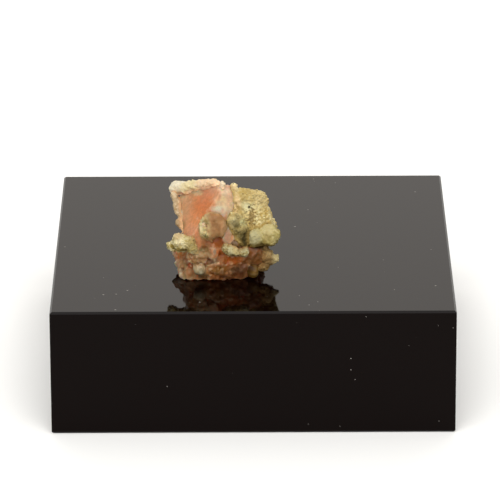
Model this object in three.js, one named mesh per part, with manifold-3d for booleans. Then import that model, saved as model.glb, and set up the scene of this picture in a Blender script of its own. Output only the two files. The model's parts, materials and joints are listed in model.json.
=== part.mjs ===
// Pink fluorite crystals grown with feldspar, albite and quartz, on a polished black display block.
//
// Units are millimetres, +Z is up and the origin is the centre of the block's underside. The specimen has
// a frame of its own: its origin lies on the block's top face, +X to the right and +Y to the back.
// The fluorite crystals are octahedra that grew into one another, nearly parallel to the largest one.
// Each mineral is one closed solid. Neighbours keep a small seam between them, so no two solids overlap.

import * as THREE from "three";
import { ConvexGeometry } from "three/addons/geometries/ConvexGeometry.js";
import { ImprovedNoise } from "three/addons/math/ImprovedNoise.js";
import { TessellateModifier } from "three/addons/modifiers/TessellateModifier.js";
import { mergeVertices } from "three/addons/utils/BufferGeometryUtils.js";
import Module from "manifold-3d";

const wasm = await Module();
wasm.setup();

// ---------------------------------------------------------------- driving dimensions

const BLOCK = { width: 60, depth: 60, height: 19.3, chamfer: 0.3 };
const SPECIMEN_AT = { x: -4, y: -11 }; // middle of the specimen on the block's top face
const REST_GAP = 0.02; // the specimen's flat rest above the block
const SEAM = 0.3; // between two minerals that grew against each other
const CORNER_SHARE = 1.5; // how much further a hull's corner moves than its faces, when the hull grows

// How the largest crystal is turned from a pose with its corners on X, Y and Z.
const CRYSTAL_TURN = eulerOf([-73.1, 35.2, -166]);

// The faces of an octahedron and of a cube, before they are turned.
const OCTAHEDRON_FACES = [-1, 1].flatMap((x) => [-1, 1].flatMap((y) => [-1, 1].map((z) => [x, y, z])));
const CUBE_FACES = [-1, 1].flatMap((side) => [
  [side, 0, 0],
  [0, side, 0],
  [0, 0, side],
]);

// ---------------------------------------------------------------- fluorite

// at: the centre. reach: centre to corner. tilt: how it is turned against the largest crystal, in degrees.
// cube: where small cube faces cut the six corners off, as a share of the reach.
const CRYSTALS = [
  { at: [-1.5, -0.3, 7.64], reach: 7.92, cube: 0.84 },
  { at: [-3.8, -2.2, 1.2], reach: 5.4, tilt: [0, -9, 0], cube: 0.93 },
  { at: [1.6, -0.6, 2.8], reach: 5.0, tilt: [0, -4, 6], cube: 0.8 },
  { at: [-2.0, -4.2, 4.6], reach: 2.6, tilt: [0, -6, 8], cube: 0.76 },
  { at: [-4.6, -5.3, 3.8], reach: 2.0, tilt: [6, -10, 12], cube: 0.78 },
  { at: [-2.3, -5.0, 1.4], reach: 2.4, tilt: [-10, 6, 10], cube: 0.78 },
  { at: [1.8, -4.2, 1.4], reach: 2.5, tilt: [12, -5, -8], cube: 0.8 },
  { at: [3.9, -3.2, 3.0], reach: 2.6, tilt: [5, 10, -6], cube: 0.78 },
  { at: [3.2, 3.4, 3.2], reach: 3.8, tilt: [6, 5, -9], cube: 0.82 },
  { at: [-4.6, 3.6, 6.2], reach: 3.0, tilt: [-7, 4, 6], cube: 0.8 },
  { at: [-0.6, 5.0, 5.0], reach: 2.6, tilt: [4, -6, 10], cube: 0.84 },
];

// Broken crystals on the specimen's front, each the hull of its corners.
const SPLINTERS = {
  core: [
    [-4.8, -5.3, 4.8],
    [0.4, -5.3, 5.6],
    [4.8, -4.5, 4.4],
    [4.6, -4.7, 0.4],
    [0.4, -5.8, -0.2],
    [-4.6, -6.1, -0.2],
    [-5.4, -5.6, 2.6],
    [4.6, 0.2, -0.2],
    [-4.6, -1.0, -0.2],
    [4.6, 0.2, 4.4],
  ],
  kite: [
    [0.3, -4.9, 8.6],
    [1.4, -5.6, 6.5],
    [0.4, -6.2, 5.8],
    [-0.7, -5.9, 6.4],
    [0.6, -3.6, 7.2],
    [1.5, -4.4, 5.1],
    [-0.6, -4.6, 4.8],
  ],
  hollowSide: [
    [-2.7, -5.4, 6.9],
    [-0.5, -5.1, 7.4],
    [-0.5, -6.0, 4.9],
    [-2.5, -6.5, 4.9],
    [-1.7, -3.8, 6.3],
    [-0.6, -4.8, 3.6],
    [-2.7, -5.0, 3.7],
  ],
  band: [
    [0.2, -6.5, 4.2],
    [3.2, -6.1, 4.0],
    [2.8, -5.9, 2.5],
    [0.3, -6.3, 2.5],
    [1.8, -4.2, 3.8],
    [1.8, -4.4, 1.4],
    [3.6, -4.4, 3.0],
    [-0.3, -4.8, 2.9],
  ],
  underTheBlocks: [
    [2.8, -5.2, 5.2],
    [5.4, -4.7, 4.9],
    [5.5, -4.9, 2.4],
    [3.1, -5.7, 2.3],
    [4.3, -5.8, 4.0],
    [3.6, -3.4, 4.5],
    [5.4, -3.2, 1.3],
    [3.3, -3.4, 1.0],
  ],
  darkCorner: [
    [0.9, -5.9, 2.5],
    [3.4, -5.7, 2.4],
    [3.1, -5.3, -0.2],
    [1.3, -5.5, -0.2],
    [2.3, -6.1, 1.7],
    [1.8, -3.8, 1.2],
    [3.1, -3.8, -0.9],
    [1.2, -3.8, -0.9],
  ],
  foot: [
    [-3.0, -6.5, 2.7],
    [-1.1, -6.9, 3.2],
    [0.7, -6.3, 2.4],
    [0.8, -6.0, 0.5],
    [-0.9, -6.2, 0.35],
    [-2.7, -6.4, 0.3],
    [-2.0, -7.1, 1.8],
    [-1.2, -4.6, 1.8],
    [-0.9, -4.6, -1.1],
  ],
  beltLeft: [
    [-5.4, -6.1, 4.3],
    [-4.2, -6.2, 5.0],
    [-2.9, -6.4, 4.6],
    [-2.7, -6.8, 3.1],
    [-4.0, -6.9, 2.8],
    [-5.2, -6.6, 2.9],
    [-4.3, -7.1, 4.1],
    [-4.2, -5.0, 3.3],
  ],
  beltMiddle: [
    [-2.7, -6.1, 5.4],
    [-1.9, -6.2, 6.1],
    [-1.1, -6.1, 5.4],
    [-1.0, -6.5, 3.6],
    [-2.0, -7.0, 3.3],
    [-2.7, -6.6, 3.9],
    [-2.0, -5.0, 4.2],
  ],
};

// ---------------------------------------------------------------- the other minerals

// The turns of what lies on the largest crystal: along its roof's front edge, and along its left edge.
const ON_ROOF = [-11, -21, -44];
const ON_LEFT_EDGE = [32, -31, 0];

// A chunk is the hull of its corners, with its faces broken up into pieces no longer than edge.
// A lump is a ball stretched to its radii and turned: boxy is 2 for an ellipsoid, and higher for a box.
// Both are roughened by bumps this high and this size. seed picks the pattern of the bumps, and detail
// is how finely the ball is divided.

const MATRIX = [
  {
    corners: [
      [1.5, -3.4, 13.0],
      [3.9, -3.7, 12.9],
      [5.8, -3.2, 12.9],
      [6.4, -3.0, 12.0],
      [6.4, -3.0, 10.9],
      [6.8, -3.2, 9.0],
      [7.4, -3.3, 7.4],
      [3.1, -4.7, 7.4],
      [1.2, -4.6, 9.8],
      [1.3, -4.3, 11.8],
      [2.0, -1.2, 13.0],
      [5.2, -1.2, 12.6],
      [1.8, 3.0, 11.2],
      [4.6, 3.2, 10.8],
      [6.3, 2.0, 9.2],
      [7.6, 0.2, 6.6],
      [7.0, 3.4, 4.4],
      [3.0, 5.0, 4.8],
      [2.0, 4.8, 8.5],
      [4.4, -3.2, 4.4],
      [7.3, -2.8, 4.6],
    ],
    edge: 1.5,
    bumps: 0.3,
    size: 1.5,
    seed: 1,
  },
  { at: [1.1, -2.2, 13.35], radii: [0.8, 0.8, 0.75], bumps: 0.14, seed: 3, detail: 2 },
  { at: [1.5, -4.7, 9.2], radii: [1.2, 0.9, 1.1], turn: [0, 30, 0], bumps: 0.25, seed: 4, detail: 2 },
  { at: [2.1, -4.8, 7.7], radii: [1.2, 0.8, 1.2], turn: [0, 20, 0], bumps: 0.25, seed: 5, detail: 2 },
  { at: [2.6, -4.8, 6.1], radii: [1.0, 0.8, 1.3], turn: [0, -10, 0], bumps: 0.22, seed: 6, detail: 2 },
];

const FELDSPAR_BLOCKS = [
  { at: [4.35, -4.6, 6.5], radii: [1.0, 1.2, 1.15], turn: [8, -8, 10], boxy: 4, seed: 11 },
  { at: [6.4, -4.1, 6.4], radii: [1.5, 1.5, 1.3], turn: [-5, 14, -18], boxy: 4, seed: 12 },
  { at: [6.3, -3.5, 7.4], radii: [1.2, 1.0, 0.7], turn: [0, -6, -10], seed: 13, detail: 2 },
];

const RIGHT_NUB = [
  { at: [5.7, -4.1, 3.3], radii: [1.5, 1.4, 1.15], turn: [0, 18, 0], bumps: 0.2, size: 0.8, seed: 21 },
  { at: [7.3, -3.9, 2.8], radii: [0.8, 0.8, 0.66], turn: [0, 0, 20], seed: 22, detail: 2 },
  { at: [5.0, -4.5, 1.9], radii: [1.5, 1.1, 0.8], turn: [0, 12, 0], bumps: 0.14, seed: 23, detail: 2 },
];

const LEFT_KNOB = [
  {
    at: [-6.2, -5.5, 6.1],
    radii: [1.75, 1.5, 1.0],
    turn: [0, -8, 0],
    boxy: 3,
    bumps: 0.2,
    seed: 31,
    detail: 4,
  },
  { at: [-8.0, -4.7, 5.2], radii: [0.95, 1.0, 0.62], turn: [0, -24, 0], bumps: 0.12, seed: 32, detail: 2 },
  { at: [-4.9, -6.1, 5.6], radii: [1.05, 1.0, 1.1], bumps: 0.16, size: 0.7, seed: 33, detail: 2 },
];

const TOP_CRUST = [
  { at: [-7.2, 2.9, 11.65], radii: [1.1, 1.2, 0.95], turn: [-11, -14, -30], boxy: 3.4, bumps: 0.1, seed: 41 },
  { at: [-5.8, 1.7, 12.1], radii: [1.5, 1.2, 0.9], turn: ON_ROOF, bumps: 0.26, seed: 42, detail: 2 },
  { at: [-4.4, 0.6, 12.7], radii: [1.6, 1.2, 0.9], turn: ON_ROOF, bumps: 0.28, seed: 43, detail: 2 },
  { at: [-3.0, -0.7, 13.5], radii: [1.7, 1.1, 0.65], turn: ON_ROOF, boxy: 2.8, seed: 44, detail: 2 },
  { at: [-1.8, -1.8, 14.15], radii: [1.2, 0.9, 0.58], turn: ON_ROOF, boxy: 2.8, seed: 45, detail: 2 },
  { at: [-0.6, -2.9, 14.25], radii: [0.55, 0.7, 0.5], seed: 46, detail: 2 },
  { at: [-3.8, 1.2, 12.8], radii: [2.6, 1.7, 0.6], turn: ON_ROOF, bumps: 0.35, seed: 47, detail: 2 },
];

const EDGE_PLATES = [
  { at: [-7.6, 1.3, 10.4], radii: [0.5, 1.5, 1.2], turn: ON_LEFT_EDGE, bumps: 0.16, seed: 51, detail: 2 },
  { at: [-7.2, -0.5, 9.0], radii: [0.46, 1.9, 1.1], turn: ON_LEFT_EDGE, bumps: 0.16, seed: 52, detail: 2 },
  { at: [-6.8, -2.5, 7.5], radii: [0.55, 1.3, 1.1], turn: ON_LEFT_EDGE, bumps: 0.16, seed: 54, detail: 2 },
];

const FRONT_LEDGE = [
  { at: [0.2, -6.2, 5.05], radii: [0.85, 0.8, 0.75], turn: [0, 14, 0], bumps: 0.16, seed: 61, detail: 2 },
  { at: [1.2, -6.35, 4.75], radii: [1.0, 0.8, 0.62], turn: [0, 10, 0], bumps: 0.16, seed: 62, detail: 2 },
  { at: [2.5, -6.2, 4.65], radii: [0.9, 0.75, 0.55], turn: [0, -6, 0], bumps: 0.14, seed: 63, detail: 2 },
];

const FRONT_QUARTZ = [
  { at: [-2.2, -5.3, 8.6], radii: [1.95, 1.4, 1.9], turn: [0, 20, 0], size: 1.4, seed: 71, detail: 4 },
];

const BROWN_BEAD = [{ at: [1.6, -5.9, 5.75], radii: [0.52, 0.5, 0.52], bumps: 0.04, seed: 81, detail: 1 }];
const BASE_QUARTZ = [{ at: [-4, -6.7, 2], radii: [1, 0.85, 0.8], turn: [0, 25, 0], seed: 82, detail: 2 }];
const CORNER_QUARTZ = [{ at: [4, -5.2, 1.05], radii: [1.1, 1, 1.1], turn: [0, -20, 0], seed: 83, detail: 2 }];
const FOOT_BEAD = [{ at: [0.1, -6.3, 0.45], radii: [0.75, 0.7, 0.55], bumps: 0.05, seed: 84, detail: 1 }];

// Pits in the matrix's front: the middle and the radius of each.
const PITS = [
  { at: [3.55, -4.4, 10.9], radius: 0.32 },
  { at: [3.8, -4.6, 9.3], radius: 0.26 },
  { at: [4.2, -4.5, 8.6], radius: 0.3 },
  { at: [3.6, -4.8, 7.9], radius: 0.26 },
  { at: [5.6, -3.9, 9.9], radius: 0.22 },
];

// ---------------------------------------------------------------- shapes

function eulerOf(degrees, order = "XYZ") {
  return new THREE.Euler(...degrees.map(THREE.MathUtils.degToRad), order);
}

const noise = new ImprovedNoise();

// Three octaves of noise at a point, from about -1 to 1.
function rough(point, size, seed) {
  let sum = 0;
  let share = 1;
  let scale = 1 / size;
  for (let octave = 0; octave < 3; octave += 1) {
    const shift = seed * 17.3 + octave * 5.1;
    sum += share * noise.noise(point.x * scale + shift, point.y * scale - shift, point.z * scale + shift);
    share *= 0.55;
    scale *= 2.1;
  }
  return sum;
}

// The geometry with shared corners and nothing but positions.
function welded(geometry) {
  const bare = geometry.clone();
  bare.deleteAttribute("normal");
  bare.deleteAttribute("uv");
  return mergeVertices(bare, 1e-4);
}

function solidOf(geometry) {
  const closed = welded(geometry);
  return new wasm.Manifold(
    new wasm.Mesh({
      numProp: 3,
      vertProperties: closed.attributes.position.array,
      triVerts: new Uint32Array(closed.index.array),
    }),
  );
}

function geometryOf(solid) {
  const mesh = solid.getMesh();
  const geometry = new THREE.BufferGeometry();
  geometry.setAttribute("position", new THREE.BufferAttribute(mesh.vertProperties, 3));
  geometry.setIndex(new THREE.BufferAttribute(mesh.triVerts, 1));
  const faceted = geometry.toNonIndexed();
  faceted.computeVertexNormals();
  return faceted;
}

function join(solids) {
  return solids.reduce((all, solid) => all.add(solid));
}

// The largest body of a solid, without the crumbs that a cut leaves.
function largest(solid) {
  return solid.decompose().reduce((best, body) => (body.volume() > best.volume() ? body : best));
}

// The hull of the points where three of the planes meet inside all the others.
function enclosed(planes) {
  const corners = [];
  const inside = (point) => planes.every((plane) => plane.normal.dot(point) < plane.distance + 1e-6);
  for (let i = 0; i < planes.length; i += 1)
    for (let j = i + 1; j < planes.length; j += 1)
      for (let k = j + 1; k < planes.length; k += 1) {
        const [a, b, c] = [planes[i], planes[j], planes[k]];
        const bc = new THREE.Vector3().crossVectors(b.normal, c.normal);
        const volume = a.normal.dot(bc);
        if (Math.abs(volume) < 1e-6) continue;
        const point = bc
          .multiplyScalar(a.distance)
          .addScaledVector(new THREE.Vector3().crossVectors(c.normal, a.normal), b.distance)
          .addScaledVector(new THREE.Vector3().crossVectors(a.normal, b.normal), c.distance)
          .divideScalar(volume);
        if (inside(point)) corners.push(point);
      }
  return new ConvexGeometry(corners);
}

// One crystal: an octahedron whose corners are cut off by cube faces. grow moves all faces outwards.
function crystal({ at, reach, tilt = [0, 0, 0], cube }, grow = 0) {
  const face = (direction, distance) => ({
    normal: new THREE.Vector3(...direction).normalize().applyEuler(CRYSTAL_TURN).applyEuler(eulerOf(tilt)),
    distance: distance + grow,
  });
  const octahedron = OCTAHEDRON_FACES.map((direction) => face(direction, reach / Math.sqrt(3)));
  const corners = CUBE_FACES.map((direction) => face(direction, cube * reach));
  return solidOf(enclosed([...octahedron, ...corners]).translate(...at));
}

// Moves every point of a closed form away from its middle, by noise and by an even allowance.
function roughened(form, { bumps, size, seed }, grow) {
  const position = form.attributes.position;
  const point = new THREE.Vector3();
  for (let i = 0; i < position.count; i += 1) {
    point.fromBufferAttribute(position, i);
    point.setLength(point.length() + bumps * rough(point, size, seed) + grow);
    position.setXYZ(i, point.x, point.y, point.z);
  }
  return form;
}

// The hull of a list of corners, and its middle. grow moves the corners away from the middle.
function hull(corners, grow = 0) {
  const points = corners.map((corner) => new THREE.Vector3(...corner));
  const middle = new THREE.Box3().setFromPoints(points).getCenter(new THREE.Vector3());
  const around = points.map((point) => point.sub(middle));
  return { middle, form: new ConvexGeometry(around.map((point) => point.setLength(point.length() + grow))) };
}

function splinter(corners, grow = 0) {
  const { middle, form } = hull(corners, grow * CORNER_SHARE);
  return solidOf(form.translate(...middle));
}

function chunk({ corners, edge, bumps, size, seed }, grow = 0) {
  const { middle, form } = hull(corners);
  const broken = welded(new TessellateModifier(edge, 10).modify(form));
  return solidOf(roughened(broken, { bumps, size, seed }, grow).translate(...middle));
}

function lump(shape, grow = 0) {
  const { at, radii, turn = [0, 0, 0], boxy = 2.3, bumps = 0.1, size = 0.9, seed, detail = 3 } = shape;
  const ball = welded(new THREE.IcosahedronGeometry(1, detail));
  const position = ball.attributes.position;
  const point = new THREE.Vector3();
  for (let i = 0; i < position.count; i += 1) {
    point.fromBufferAttribute(position, i).normalize();
    const spread = point.toArray().reduce((sum, along) => sum + Math.abs(along) ** boxy, 0);
    point.multiplyScalar(spread ** (-1 / boxy)).multiply(new THREE.Vector3(...radii));
    position.setXYZ(i, point.x, point.y, point.z);
  }
  const form = roughened(ball, { bumps, size, seed }, grow);
  const turned = new THREE.Matrix4().makeRotationFromEuler(eulerOf(turn, "ZYX"));
  return solidOf(form.applyMatrix4(turned).translate(...at));
}

const stone = (pieces) => (grow) =>
  join(pieces.map((piece) => (piece.corners ? chunk(piece, grow) : lump(piece, grow))));

function fluorite(grow) {
  const whole = CRYSTALS.map((each) => crystal(each, grow));
  const broken = Object.values(SPLINTERS).map((corners) => splinter(corners, grow));
  return join([...whole, ...broken]);
}

function pittedMatrix(grow) {
  const pit = ({ at, radius }) => solidOf(new THREE.OctahedronGeometry(radius).translate(...at));
  return stone(MATRIX)(grow).subtract(join(PITS.map(pit)));
}

// ---------------------------------------------------------------- the sub-parts

const finishes = {
  display_block: { color: 0x0b0a0a, roughness: 0.06 },
  fluorite_crystals: { color: 0xe0835c, roughness: 0.35 },
  quartz_front_grain: { color: 0xb08b66, roughness: 0.4 },
  quartz_corner_grain: { color: 0x7d5a34, roughness: 0.2 },
  quartz_base_grain: { color: 0xcfc8b4, roughness: 0.45 },
  quartz_foot_bead: { color: 0xa97a50, roughness: 0.35 },
  quartz_brown_bead: { color: 0x8c6636, roughness: 0.35 },
  feldspar_blocks: { color: 0xcdc59a, roughness: 0.75 },
  feldspar_matrix: { color: 0xc6b878, roughness: 0.9 },
  albite_knob: { color: 0xd2c486, roughness: 0.85 },
  albite_nub: { color: 0xb99d6c, roughness: 0.8 },
  albite_ledge: { color: 0xcfc592, roughness: 0.85 },
  albite_crust: { color: 0xe6dcc0, roughness: 0.8 },
  albite_plates: { color: 0xe2dccb, roughness: 0.7 },
};

// In the order of their growth: each mineral is cut back by those before it.
const minerals = {
  fluorite_crystals: fluorite,
  quartz_front_grain: stone(FRONT_QUARTZ),
  quartz_corner_grain: stone(CORNER_QUARTZ),
  quartz_base_grain: stone(BASE_QUARTZ),
  quartz_foot_bead: stone(FOOT_BEAD),
  quartz_brown_bead: stone(BROWN_BEAD),
  feldspar_blocks: stone(FELDSPAR_BLOCKS),
  feldspar_matrix: pittedMatrix,
  albite_knob: stone(LEFT_KNOB),
  albite_nub: stone(RIGHT_NUB),
  albite_ledge: stone(FRONT_LEDGE),
  albite_crust: stone(TOP_CRUST),
  albite_plates: stone(EDGE_PLATES),
};

function subPart(name, geometry) {
  const material = new THREE.MeshStandardMaterial({ ...finishes[name], flatShading: true });
  const mesh = new THREE.Mesh(geometry, material);
  mesh.name = name;
  return mesh;
}

// A square slab with its twelve edges broken by a narrow polished chamfer.
function displayBlock() {
  const { width, depth, height, chamfer } = BLOCK;
  const [x, y] = [width / 2 - chamfer, depth / 2 - chamfer];
  const outline = new THREE.Shape();
  outline.moveTo(-x, -y).lineTo(x, -y).lineTo(x, y).lineTo(-x, y).closePath();
  return new THREE.ExtrudeGeometry(outline, {
    depth: height - 2 * chamfer,
    bevelSize: chamfer,
    bevelThickness: chamfer,
    bevelSegments: 1,
  }).translate(0, 0, chamfer);
}

// Everything below the rest plane is missing: the specimen broke off there.
function brokenOffAtTheRest(solid) {
  const wide = 60;
  const below = new THREE.BoxGeometry(wide, wide, wide).translate(0, 0, -wide / 2);
  return solid.subtract(solidOf(below));
}

const specimen = new THREE.Group();
specimen.position.set(SPECIMEN_AT.x, SPECIMEN_AT.y, BLOCK.height + REST_GAP);
const cutters = [];
for (const [name, form] of Object.entries(minerals)) {
  const fitted = cutters.reduce((left, cutter) => left.subtract(cutter), form(0));
  specimen.add(subPart(name, geometryOf(largest(brokenOffAtTheRest(fitted)))));
  cutters.push(form(SEAM));
}

const part = new THREE.Group();
part.add(subPart("display_block", displayBlock()));
part.add(specimen);

export default part;
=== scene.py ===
# Pink fluorite crystals with feldspar, albite and quartz, on a polished black display block.
#
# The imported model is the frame: one node for each mineral and one for the block, in metres, +Z up.
# Every mineral is dressed in the order of its growth, so that each one can close the seam to those
# that grew before it. The tables hold lengths in mm and colours as display values from 0 to 255.

import json
import math
from functools import cache

import bmesh
import bpy
from bpy.props import FloatProperty, FloatVectorProperty, PointerProperty
from mathutils import Matrix, Vector

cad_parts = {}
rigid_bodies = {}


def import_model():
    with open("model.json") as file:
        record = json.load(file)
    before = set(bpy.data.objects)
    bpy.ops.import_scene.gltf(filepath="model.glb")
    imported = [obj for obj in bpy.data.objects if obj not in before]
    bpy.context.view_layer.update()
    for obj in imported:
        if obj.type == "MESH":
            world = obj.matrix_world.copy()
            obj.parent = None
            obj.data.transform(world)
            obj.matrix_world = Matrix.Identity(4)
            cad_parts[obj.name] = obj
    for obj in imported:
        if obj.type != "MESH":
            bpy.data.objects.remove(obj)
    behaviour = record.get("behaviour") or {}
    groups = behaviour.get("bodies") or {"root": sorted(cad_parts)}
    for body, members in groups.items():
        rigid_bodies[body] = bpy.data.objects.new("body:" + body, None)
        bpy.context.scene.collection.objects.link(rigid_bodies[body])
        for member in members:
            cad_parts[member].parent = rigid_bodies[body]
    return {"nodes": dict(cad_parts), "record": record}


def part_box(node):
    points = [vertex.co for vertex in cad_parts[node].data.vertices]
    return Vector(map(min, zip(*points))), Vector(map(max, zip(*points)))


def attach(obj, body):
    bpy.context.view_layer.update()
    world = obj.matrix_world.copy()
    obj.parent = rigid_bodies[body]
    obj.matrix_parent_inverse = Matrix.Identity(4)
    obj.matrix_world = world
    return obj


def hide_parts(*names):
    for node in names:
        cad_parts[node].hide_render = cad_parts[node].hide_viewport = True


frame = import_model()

bl_info = {
    "name": "Fluorite Specimen",
    "version": (1, 0, 0),
    "blender": (4, 5, 0),
    "location": "3D View > Sidebar > Specimen",
    "description": "Dresses a fluorite specimen and its display block",
    "category": "Object",
}

MM = 0.001
BODY = "root"
BLOCK_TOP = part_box("display_block")[1].z
# The specimen's own frame: its origin lies on the block's top face, near the front.
SPECIMEN_AT = Vector((-4 * MM, -11 * MM, BLOCK_TOP))
GROWN = "grown_minerals"
MERGE_DISTANCE = 0.0005 * MM
SEAM = 0.3 * MM  # between the solids of neighbouring minerals
COARSE_VOXEL = 0.1 * MM  # for closing the seams
EDGE_STEPS = 6  # how many points away from an edge are looked at to find it
CHIP_SIZE = 0.9 * MM
MIDDLE = (0.5, 0.5, 0.5)  # the middle of a colour or vector from a noise texture
FAR_OFF = (0.02, 0.01, 0.03)  # to a place where a noise texture looks different


def place(x, y, z):
    """A point of the specimen's own frame, given in mm, as a point of the object's frame, in metres."""
    return SPECIMEN_AT + Vector((x, y, z)) * MM


def srgb(red, green, blue):
    """A colour given as three display values from 0 to 255, as linear values."""

    def linear(value):
        share = value / 255
        return share / 12.92 if share <= 0.04045 else ((share + 0.055) / 1.055) ** 2.4

    return (linear(red), linear(green), linear(blue))


# ---------------------------------------------------------------- node trees


class Wire:
    """A node's output. Arithmetic on it adds the nodes that do it. A wide one is a vector or a colour."""

    def __init__(self, tree, socket):
        self.tree = tree
        self.socket = socket
        self.wide = socket.type in ("VECTOR", "RGBA")

    def __add__(self, other):
        return step("ADD", self, other)

    def __radd__(self, other):
        return step("ADD", other, self)

    def __sub__(self, other):
        return step("SUBTRACT", self, other)

    def __rsub__(self, other):
        return step("SUBTRACT", other, self)

    def __mul__(self, other):
        if self.wide and not isinstance(other, tuple):
            inputs = {0: self, "Scale": other}
            return add(self.tree, "ShaderNodeVectorMath", inputs, operation="SCALE")[0]
        return step("MULTIPLY", self, other)

    def __truediv__(self, other):
        return step("DIVIDE", self, other)

    def __rtruediv__(self, other):
        return step("DIVIDE", other, self)


class Made:
    """A node in its tree. Its outputs are taken as wires, by name or number."""

    def __init__(self, tree, node):
        self.tree = tree
        self.node = node

    def __getitem__(self, key):
        return Wire(self.tree, self.node.outputs[key])


def connect(tree, socket, value):
    """Links an input to a wire, or sets its value. A colour may come without alpha."""
    if isinstance(value, Wire):
        tree.links.new(value.socket, socket)
    elif socket.type == "RGBA":
        socket.default_value = (*value, 1)[:4]
    else:
        socket.default_value = value


def add(tree, kind, inputs=None, **settings):
    """A new node with its settings, and with its inputs given by name or number."""
    node = tree.nodes.new(kind)
    for key, value in settings.items():
        setattr(node, key, value)
    for key, value in (inputs or {}).items():
        connect(tree, node.inputs[key], value)
    return Made(tree, node)


def first_wire(values):
    return next(value for value in values if isinstance(value, Wire))


def step(operation, *values):
    """One step of arithmetic, on vectors where the first wire is one."""
    wire = first_wire(values)
    kind = "ShaderNodeVectorMath" if wire.wide else "ShaderNodeMath"
    made = add(wire.tree, kind, dict(enumerate(values)), operation=operation)
    single = not wire.wide or operation in ("DOT_PRODUCT", "LENGTH", "DISTANCE")
    return made["Value" if single else "Vector"]


def ramp(value, low, high, start=0.0, end=1.0):
    """start where value is at low or less, end where it is at high or more, and smooth between them."""
    inputs = {"Value": value, "From Min": low, "From Max": high, "To Min": start, "To Max": end}
    return add(value.tree, "ShaderNodeMapRange", inputs, interpolation_type="SMOOTHSTEP")[0]


def blend(factor, one, other, mode="MIX"):
    tree = first_wire((factor, one, other)).tree
    inputs = {0: factor, 6: one, 7: other}
    return add(tree, "ShaderNodeMix", inputs, data_type="RGBA", blend_type=mode)[2]


def noise(where, size, detail=2.0, roughness=0.5):
    """Noise with lumps of about this size in metres: from 0 to 1, mostly near 0.5."""
    inputs = {"Vector": where, "Scale": 0.5 / size, "Detail": detail, "Roughness": roughness}
    return add(where.tree, "ShaderNodeTexNoise", inputs)[0]


def uneven(where, size, detail, roughness=0.5):
    """The same noise around 0."""
    return noise(where, size, detail, roughness) - 0.5


def drifted(where, scale, detail, reach):
    """A position that wanders a little, so that a pattern on it loses its straight lines."""
    inputs = {"Vector": where, "Scale": scale, "Detail": detail}
    return where + (add(where.tree, "ShaderNodeTexNoise", inputs)["Color"] - MIDDLE) * reach


def cells(where, size):
    """Cells of this size: each point's distance from its cell's centre, and the cell's random colour."""
    return add(where.tree, "ShaderNodeTexVoronoi", {"Vector": where, "Scale": 1.0 / size})


def socket_type(value):
    """The type of socket for a default value. A type that is given by its name stays as it is."""
    if isinstance(value, tuple):
        return "Color" if len(value) == 4 else "Vector"
    return {float: "Float", int: "Int"}.get(type(value), value)


def group_tree(kind, name, inputs, outputs):
    """A new node group, and the sockets of its input and output nodes.

    Each input is given by its default value, or by its type where it has none.
    """
    tree = bpy.data.node_groups.new(name, kind)
    for side, sockets in (("INPUT", inputs), ("OUTPUT", outputs)):
        for label, value in sockets.items():
            kind_of_socket = f"NodeSocket{socket_type(value)}"
            made = tree.interface.new_socket(label, in_out=side, socket_type=kind_of_socket)
            if not isinstance(value, str):
                made.default_value = value
    return tree, add(tree, "NodeGroupInput"), tree.nodes.new("NodeGroupOutput").inputs


def surface_tree(name, inputs):
    """A new Geometry Nodes group that takes a surface and gives it back changed, in its material."""
    inputs = {"Geometry": "Geometry", **inputs, "Material": "Material"}
    return group_tree("GeometryNodeTree", name, inputs, {"Geometry": "Geometry"})


def shader_tree(name, inputs, outputs):
    """A new shader group. Its first input is the position on the piece."""
    return group_tree("ShaderNodeTree", name, {"Position": "Vector", **inputs}, outputs)


def position_of(tree):
    return add(tree, "GeometryNodeInputPosition")[0]


def normal_of(tree):
    return add(tree, "GeometryNodeInputNormal")[0]


def shifted_position(tree, seed):
    """The position of each point, moved by the seed so that no two pieces share a pattern."""
    return position_of(tree) + add(tree, "ShaderNodeCombineXYZ", {0: seed, 1: seed, 2: seed})[0]


def blurred_position(tree, steps):
    inputs = {"Value": position_of(tree), "Iterations": steps}
    return add(tree, "GeometryNodeBlurAttribute", inputs, data_type="FLOAT_VECTOR")[0]


def nearest_on(tree, collection):
    """The nearest place on the surfaces of a collection: its offset from a point, and its distance."""
    others = add(tree, "GeometryNodeCollectionInfo", {"Collection": collection})[0]
    others = add(tree, "GeometryNodeRealizeInstances", {"Geometry": others})[0]
    found = add(tree, "GeometryNodeProximity", {0: others}, target_element="FACES")
    return found["Position"] - position_of(tree), found["Distance"]


def finished(tree, given, made, surface):
    """Ends a tree: makes its surface real, gives it its material, and puts it out."""
    real = add(tree, "GeometryNodeRealizeInstances", {"Geometry": surface})[0]
    inputs = {"Geometry": real, "Material": given["Material"]}
    connect(tree, made["Geometry"], add(tree, "GeometryNodeSetMaterial", inputs)[0])
    return tree


def moved(tree, given, made, offset):
    """Ends a tree with its surface moved."""
    inputs = {"Geometry": given["Geometry"], "Offset": offset}
    return finished(tree, given, made, add(tree, "GeometryNodeSetPosition", inputs)[0])


@cache
def swell_tree():
    """Moves a surface out by a distance, or in where that is below 0."""
    tree, given, made = surface_tree("Swell", {"By": 0.1 * MM})
    return moved(tree, given, made, normal_of(tree) * given["By"])


@cache
def pull_tree():
    """Draws out the part of a surface around a centre, by an offset that fades to nothing at a radius."""
    inputs = {"Centre": (0, 0, 0), "Radius": 1 * MM, "Offset": (0, 0, 0)}
    tree, given, made = surface_tree("Pull", inputs)
    away = step("DISTANCE", position_of(tree), given["Centre"])
    share = ramp(away, given["Radius"] * 0.3, given["Radius"], 1.0, 0.0)
    return moved(tree, given, made, given["Offset"] * share)


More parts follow.
